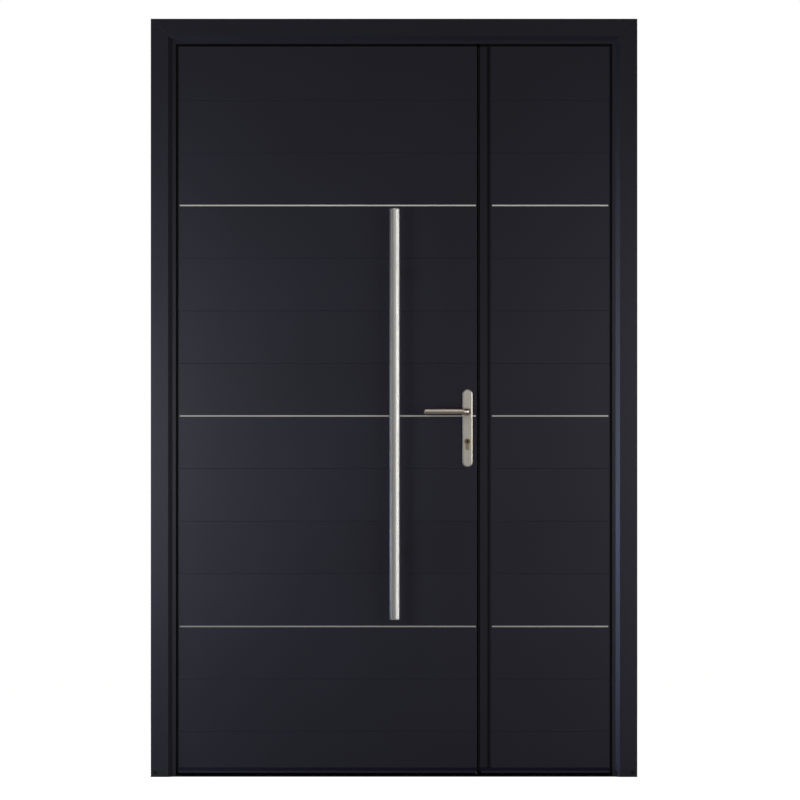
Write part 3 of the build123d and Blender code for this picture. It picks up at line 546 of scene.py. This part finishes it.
# Drip bars and the cover strip on the meeting edge are coated profiles. The strip's coat is a little darker:
# painted shade, for the shadow of the main leaf's edge on the set-back strip.
strip_shaded_dark_hex = "131119"
strip_shaded_light_hex = "181620"
finish(profile_coat, "main_drip_bar", "passive_drip_bar")
shaded_strip_coat = powder_coat("cover_strip_coat_with_painted_shade", strip_shaded_dark_hex, strip_shaded_light_hex, coat_roughness)
finish(shaded_strip_coat, "meeting_strip")


# Lock edge: a pressed zinc-plated faceplate, strikes and flush bolts, and hardened bolts.
# Zinc plate is dull silver, blotched where it was handled. Screws stand near the ends of each
# plate, and the long faceplate has four more.
zinc_hex = "b9bab4"
edge_screw = (0.0034, 0.0003, 0.0001)
from_end = 0.008
faceplate_screws = (0.62, 0.88, 1.16, 1.40)
strike_length = 0.098
middle_strike = (0.920, 1.129)
bolt_length = 0.190
zinc = brushed_metal("zinc_plated_steel", zinc_hex, (250, 250, 60), 0.42, dull=0.75)
finish(zinc, "lock_faceplate", "strike_plates", "flush_bolts", "lever_spindle")
finish(screw_steel, "lock_bolts")
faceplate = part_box("lock_faceplate")
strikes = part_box("strike_plates")
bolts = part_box("flush_bolts")
edge_y = (faceplate[0].y + faceplate[1].y) / 2
heights = [faceplate[0].z + from_end, *faceplate_screws, faceplate[1].z - from_end]
places = [((faceplate[1].x, edge_y, z), "right") for z in heights]
new_piece("faceplate_screws", screw_head(*edge_screw), places, "main_leaf", "lock_steel", screw_steel, recess_shade)
plates = (
    (strikes[0].z, strikes[0].z + strike_length),
    middle_strike,
    (strikes[1].z - strike_length, strikes[1].z),
    (bolts[0].z, bolts[0].z + bolt_length),
    (bolts[1].z - bolt_length, bolts[1].z),
)
heights = [z for low, high in plates for z in (low + from_end, high - from_end)]
places = [((strikes[0].x, edge_y, z), "left") for z in heights]
new_piece("strike_screws", screw_head(*edge_screw), places, "passive_leaf", "lock_steel", screw_steel, recess_shade)


# Pull bar: a round bar of satin stainless steel on two posts, each locked by a grub screw.
# It is ground lengthwise; the lines are about 0.1 mm apart and are drawn 1 mm apart.
bar_hex = "e9e8e3"
bar_roughness = 0.42
post_foot_radius = 0.011
post_radius = 0.008
grub_screw = (0.0026, 0.0006, 0.0001)
grub_from_bar = 0.008
grub_sunk = 0.0002
bar_steel = brushed_metal("ground_stainless_steel_bar", bar_hex, (900, 900, 9), bar_roughness, depth=0.0001)
finish(bar_steel, "pull_bar")
post_steel = brushed_metal("ground_stainless_steel_post", bar_hex, (900, 9, 900), bar_roughness)
finish(post_steel, "pull_bar_posts")
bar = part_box("pull_bar")
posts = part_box("pull_bar_posts")
bar_x = (bar[0].x + bar[1].x) / 2
grub_y = bar[1].y + grub_from_bar
post_middles = (posts[0].z + post_foot_radius, posts[1].z - post_foot_radius)
places = [((bar_x, grub_y, z - post_radius + grub_sunk), "down") for z in post_middles]
new_piece("post_grub_screws", screw_head(*grub_screw), places, "main_leaf", "lock_steel", screw_steel, recess_shade)


# Lever sets: a long plate on each face, cast and brushed, and a round lever that turns in a
# turned steel bearing ring. The metal is a warm satin nickel, pinker where hands polish the
# lever. The inside plate carries the two through screws.
nickel_hex = "dfd0c2"
plate_hex = "efe9dc"
ring_inner, ring_outer, ring_height = 0.0092, 0.0116, 0.0028
ring_round_off = 0.0006
ring_steps = 48
lever_radius = 0.009
plate_screw = (0.0038, 0.0008, 0.0003)
plate_screw_up = 0.093
plate_metal = brushed_metal("brushed_satin_nickel_plate", plate_hex, (700, 700, 14), 0.5)
finish(plate_metal, "outside_plate", "inside_plate")
lever_metal = brushed_metal("satin_nickel_lever", nickel_hex, (12, 700, 700), 0.32)
finish(lever_metal, "outside_lever", "inside_lever")
outer_plate, inner_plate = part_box("outside_plate"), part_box("inside_plate")
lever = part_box("outside_lever")
lever_x, lever_z = lever[1].x - lever_radius, (lever[0].z + lever[1].z) / 2
ring = bmesh.new()
profile = ((ring_inner, 0), (ring_outer, 0), (ring_outer, ring_height), (ring_inner, ring_height))
corners = [ring.verts.new((out, 0, up)) for out, up in profile]
ring.faces.new(corners)
bmesh.ops.bevel(
    ring, geom=corners[2:], offset=ring_round_off, affect="VERTICES", segments=3, profile=0.5, material=-1
)
bmesh.ops.spin(
    ring, geom=ring.faces[:] + ring.edges[:] + ring.verts[:], cent=(0, 0, 0), axis=(0, 0, 1),
    angle=math.radians(360), steps=ring_steps, use_merge=True,
)
bmesh.ops.delete(ring, geom=[f for f in ring.faces if len(f.verts) > 4], context="FACES_ONLY")
bmesh.ops.remove_doubles(ring, verts=ring.verts, dist=1e-6)
places = [((lever_x, outer_plate[0].y, lever_z), "outside"), ((lever_x, inner_plate[1].y, lever_z), "inside")]
new_piece("lever_bearing_rings", ring, places, "main_leaf", "brushed_steel", screw_steel)
plate_middle = (inner_plate[0].z + inner_plate[1].z) / 2
heights = (plate_middle - plate_screw_up, plate_middle + plate_screw_up)
places = [((lever_x, inner_plate[1].y, z), "inside") for z in heights]
head = screw_head(*plate_screw)
new_piece("inside_plate_screws", head, places, "main_leaf", "lock_steel", screw_steel, recess_shade)


# Lock cylinder: a machined brass body under thin satin nickel, so that it looks pale tan, with a
# turning plug of bare brass, dulled by keys, and a slot for the key at each end.
cylinder_hex = "cbb89b"
plug_hex = "8f7a58"
plug_radius = 0.0064
plug_height = 0.0004
plug_sides = 36
plug_sunk = 0.001
key_slot = (0.0030, 0.0090)
key_slot_slant = 0.00005
key_slot_depth = 0.0003
cylinder_radius = 0.0085
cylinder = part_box("lock_cylinder")
plug_z = cylinder[1].z - cylinder_radius
cylinder_metal = brushed_metal("satin_nickel_on_brass", cylinder_hex, (400, 60, 400), 0.34)
finish(cylinder_metal, "lock_cylinder")
plug_brass = brushed_metal("worn_bare_brass", plug_hex, (400, 400, 400), 0.4, dull=0.7)
plug = bmesh.new()
bmesh.ops.create_circle(plug, cap_ends=True, segments=plug_sides, radius=plug_radius)
for way, reach in (((1, 0, 0), key_slot[0] / 2), ((0, 1, 0), key_slot[1] / 2)):
    for side in (-1, 1):
        whole = plug.verts[:] + plug.edges[:] + plug.faces[:]
        point = Vector(way) * reach * side
        bmesh.ops.bisect_plane(plug, geom=whole, dist=1e-7, plane_co=point, plane_no=way)
rim = [e for e in plug.edges if e.is_boundary]
wall = bmesh.ops.extrude_edge_only(plug, edges=rim)
low_verts = [v for v in wall["geom"] if isinstance(v, bmesh.types.BMVert)]
bmesh.ops.translate(plug, vec=(0, 0, -plug_sunk), verts=low_verts)
bmesh.ops.translate(plug, vec=(0, 0, plug_height), verts=plug.verts)
flat_faces = [f for f in plug.faces if abs(f.normal.z) > 0.9]
slot_floor = min(flat_faces, key=lambda f: f.calc_center_median().xy.length)
if slot_floor.normal.z < 0:
    bmesh.ops.reverse_faces(plug, faces=plug.faces)
bmesh.ops.inset_region(plug, faces=[slot_floor], thickness=key_slot_slant, depth=-key_slot_depth)
# The key slot's floor gets the second material: painted shade.
slot_floor.material_index = 1
places = [((lever_x, cylinder[0].y, plug_z), "outside"), ((lever_x, cylinder[1].y, plug_z), "inside")]
new_piece("cylinder_plugs", plug, places, "main_leaf", "brass", plug_brass, recess_shade)


# Flags between the lamps and the door: the lamps for the coat are kept off the bare metal of the
# outer side, and the lamps for the metal light it alone.
bare_metal = ["pull_bar", "pull_bar_posts", "outside_plate", "outside_lever", "lock_cylinder"]
bare_metal += ["main_leaf_inlays", "passive_leaf_inlays"]
bare_metal += ["lever_bearing_rings", "cylinder_plugs", "post_grub_screws"]
for name in bare_metal:
    off_metal.objects.link(scene.objects[name])
    on_metal.objects.link(scene.objects[name])
for item in off_metal.collection_objects:
    item.light_linking.link_state = "EXCLUDE"
